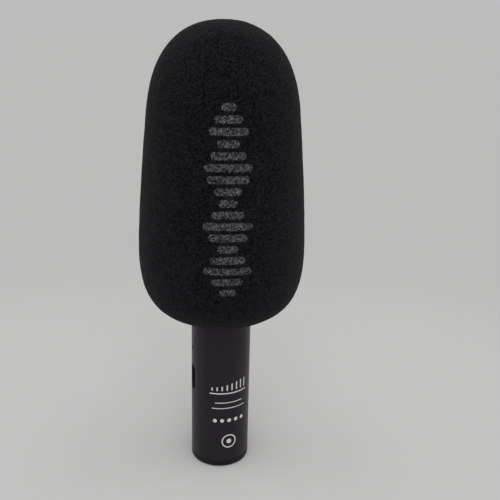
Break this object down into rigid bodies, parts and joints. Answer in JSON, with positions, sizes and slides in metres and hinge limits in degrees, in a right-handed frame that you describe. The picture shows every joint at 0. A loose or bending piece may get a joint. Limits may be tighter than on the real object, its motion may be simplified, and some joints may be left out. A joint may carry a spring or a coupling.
{
  "type": "on-camera microphone",
  "caption": "Compact tube microphone with a foam windshield that pulls off over the nose, a side data port and a rear socket, standing on its rear face.",
  "frame": {"origin": "centre of the flat rear face that the microphone stands on", "axes": "+Z along the barrel from the rear face to the nose, -Y the plain front of the barrel, -X the side that the data port opens to"},
  "size_m": [0.0562, 0.0562, 0.1561],
  "materials": {
    "foam": "open-cell foam, matte black",
    "satin_black_metal": "satin black coating",
    "mesh": "dark woven mesh",
    "felt": "acoustic felt, black",
    "rubber": "matte black rubber",
    "bright_metal": "bright plated steel",
    "brass": "turned brass",
    "gold_plate": "gold-plated contact",
    "film": "thin metallised film",
    "black_plastic": "moulded black plastic",
    "ivory_plastic": "moulded ivory plastic",
    "clear_plastic": "clear moulded plastic",
    "board_green": "green solder mask",
    "wire_red": "red insulation",
    "wire_black": "black insulation"
  },
  "bodies": {
    "microphone": {"barrel": "satin_black_metal", "end_cap": "satin_black_metal", "nose_ring": "satin_black_metal", "nose_grille": "mesh", "front_felt": "felt", "slot_mesh_sleeve": "mesh", "vent_mesh_sleeve": "mesh", "capsule_boot": "rubber", "capsule_can": "bright_metal", "diaphragm_ring": "brass", "diaphragm": "film", "diaphragm_spacer": "ivory_plastic", "backplate": "brass", "backplate_insulator": "ivory_plastic", "capsule_board": "board_green", "capsule_lead_signal": "wire_red", "capsule_lead_ground": "wire_black", "main_board": "board_green", "board_carrier": "black_plastic", "board_screw_lower": "bright_metal", "board_screw_upper": "bright_metal", "cap_screw_left": "bright_metal", "cap_screw_right": "bright_metal", "audio_codec": "black_plastic", "crystal_oscillator": "bright_metal", "shield_can": "bright_metal", "usb_c_shell": "satin_black_metal", "usb_c_insert": "black_plastic", "status_led": "ivory_plastic", "light_pipe": "clear_plastic", "jack_body": "black_plastic", "jack_ferrule": "gold_plate"},
    "windshield": {"foam_windshield": "foam"},
    "tip_contact": {"jack_tip_contact": "gold_plate"},
    "ring_contact": {"jack_ring_contact": "gold_plate"}
  },
  "joints": [
    {"name": "windshield_slide", "type": "slide", "parent": "microphone", "child": "windshield", "axis": [0, 0, 1], "range_m": [0, 0.1]},
    {"name": "tip_contact_flex", "type": "hinge", "parent": "microphone", "child": "tip_contact", "pos_m": [0, -0.00232, 0.0047], "axis": [1, 0, 0], "range_deg": [0, 3], "stiffness_Nm_per_rad": 0.02},
    {"name": "ring_contact_flex", "type": "hinge", "parent": "microphone", "child": "ring_contact", "pos_m": [0, 0.00232, 0.0047], "axis": [-1, 0, 0], "range_deg": [0, 4], "stiffness_Nm_per_rad": 0.02}
  ]
}
